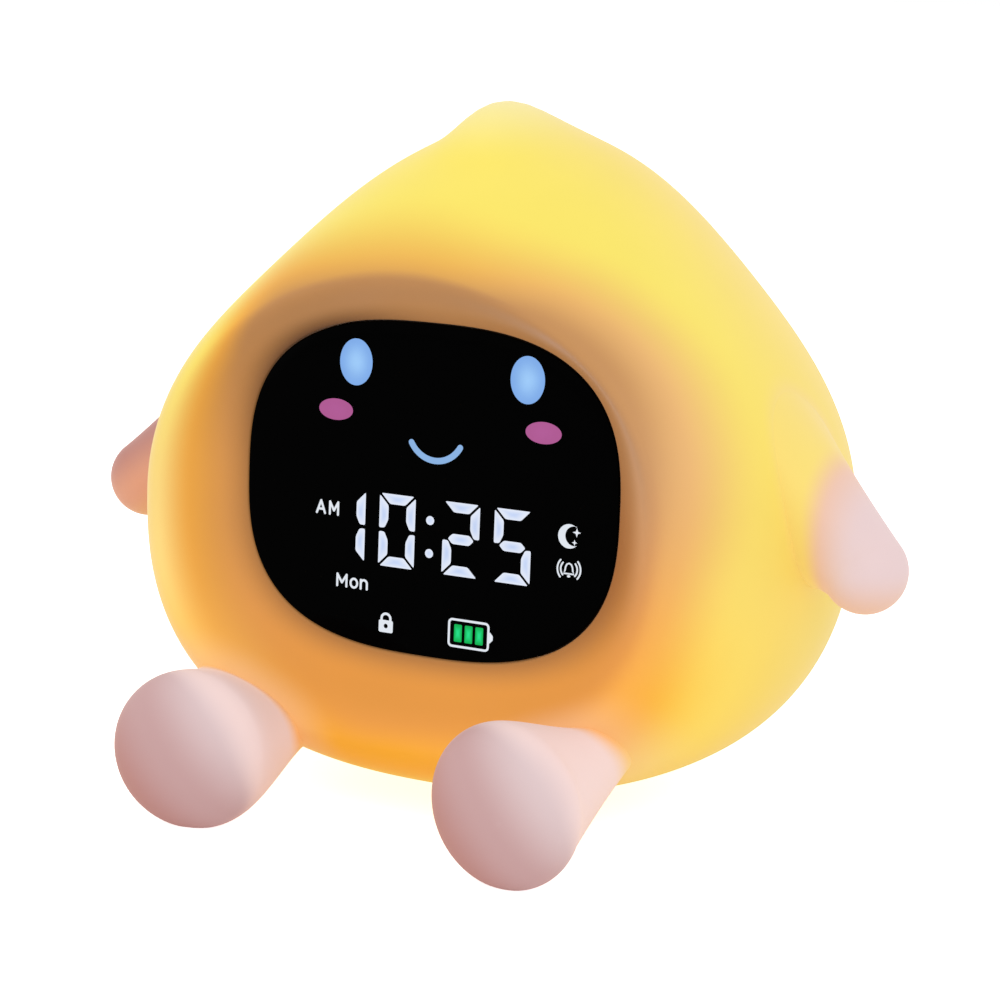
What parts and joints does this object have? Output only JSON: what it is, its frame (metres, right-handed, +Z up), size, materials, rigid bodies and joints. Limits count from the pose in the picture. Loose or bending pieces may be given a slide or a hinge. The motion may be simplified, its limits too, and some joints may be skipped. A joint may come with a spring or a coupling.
{
  "type": "kids alarm clock with night light",
  "caption": "Soft drop-shaped alarm clock and night light with stub arms and feet, a sunken oval display and a rear panel with keys, speaker and charging port.",
  "frame": {"origin": "on the ground, under the front part of the base pad, in the clock's middle plane", "axes": "+Z up; the display faces -Y; +X to the right of someone who looks at the display"},
  "size_m": [0.1546, 0.1021, 0.1182],
  "materials": {
    "skin_yellow": "soft matt silicone, lit from within",
    "limb_pink": "soft matt silicone",
    "diffuser": "translucent, frosted",
    "lens_smoke": "polished smoked acrylic",
    "foam_black": "closed-cell foam",
    "film_black": "printed film",
    "black_plastic": "fine moulded grain",
    "white_plastic": "fine moulded grain",
    "board_green": "solder mask",
    "board_white": "white solder mask",
    "led_cream": "phosphor dome",
    "steel": "plated",
    "nickel": "bright plated",
    "key_plastic": "smooth moulded",
    "plunger_black": "moulded",
    "light_pipe": "clear moulded",
    "cone_black": "coated paper",
    "cell_sleeve": "shrink sleeve",
    "wire_sleeve": "smooth",
    "spring_brass": "bright",
    "pad_rubber": "matt, fine grip texture"
  },
  "bodies": {
    "clock": {"silicone_skin": "skin_yellow", "arm_left": "limb_pink", "arm_right": "limb_pink", "leg_left": "limb_pink", "leg_right": "limb_pink", "front_shell": "diffuser", "rear_shell": "diffuser", "lens": "lens_smoke", "lens_gasket": "foam_black", "mask_film": "film_black", "display_housing": "black_plastic", "light_box": "white_plastic", "display_board": "board_green", "display_leds": "led_cream", "chassis": "white_plastic", "housing_screws": "steel", "lamp_board": "board_white", "lamp_leds": "led_cream", "post_spacers": "nickel", "main_board": "board_green", "board_parts": "black_plastic", "tact_switches": "steel", "usb_socket": "steel", "switch_body": "black_plastic", "rear_panel": "white_plastic", "panel_screws": "steel", "charge_lens": "light_pipe", "speaker_gasket": "foam_black", "speaker_frame": "steel", "speaker_magnet": "steel", "speaker_cone": "cone_black", "battery_cell": "cell_sleeve", "battery_straps": "black_plastic", "battery_leads": "wire_sleeve", "lamp_leads": "wire_sleeve", "speaker_leads": "wire_sleeve", "display_ribbon": "wire_sleeve", "touch_spring": "spring_brass", "touch_lead": "wire_sleeve", "base_plate": "white_plastic", "base_screws": "steel", "base_pad": "pad_rubber"},
    "key_light_body": {"key_light": "key_plastic", "plunger_light": "plunger_black"},
    "key_down_body": {"key_down": "key_plastic", "plunger_down": "plunger_black"},
    "key_set_body": {"key_set": "key_plastic", "plunger_set": "plunger_black"},
    "key_up_body": {"key_up": "key_plastic", "plunger_up": "plunger_black"},
    "key_alarm_body": {"key_alarm": "key_plastic", "plunger_alarm": "plunger_black"},
    "power_slider": {"switch_knob": "key_plastic"}
  },
  "joints": [
    {"name": "key_light_press", "type": "slide", "parent": "clock", "child": "key_light_body", "axis": [0, -1, 0], "range_m": [0, 0.0005], "stiffness_N_per_m": 1500},
    {"name": "key_down_press", "type": "slide", "parent": "clock", "child": "key_down_body", "axis": [0, -1, 0], "range_m": [0, 0.0005], "stiffness_N_per_m": 1500},
    {"name": "key_set_press", "type": "slide", "parent": "clock", "child": "key_set_body", "axis": [0, -1, 0], "range_m": [0, 0.0005], "stiffness_N_per_m": 1500},
    {"name": "key_up_press", "type": "slide", "parent": "clock", "child": "key_up_body", "axis": [0, -1, 0], "range_m": [0, 0.0005], "stiffness_N_per_m": 1500},
    {"name": "key_alarm_press", "type": "slide", "parent": "clock", "child": "key_alarm_body", "axis": [0, -1, 0], "range_m": [0, 0.0005], "stiffness_N_per_m": 1500},
    {"name": "power_slide", "type": "slide", "parent": "clock", "child": "power_slider", "axis": [1, 0, 0], "range_m": [0, 0.003]}
  ]
}
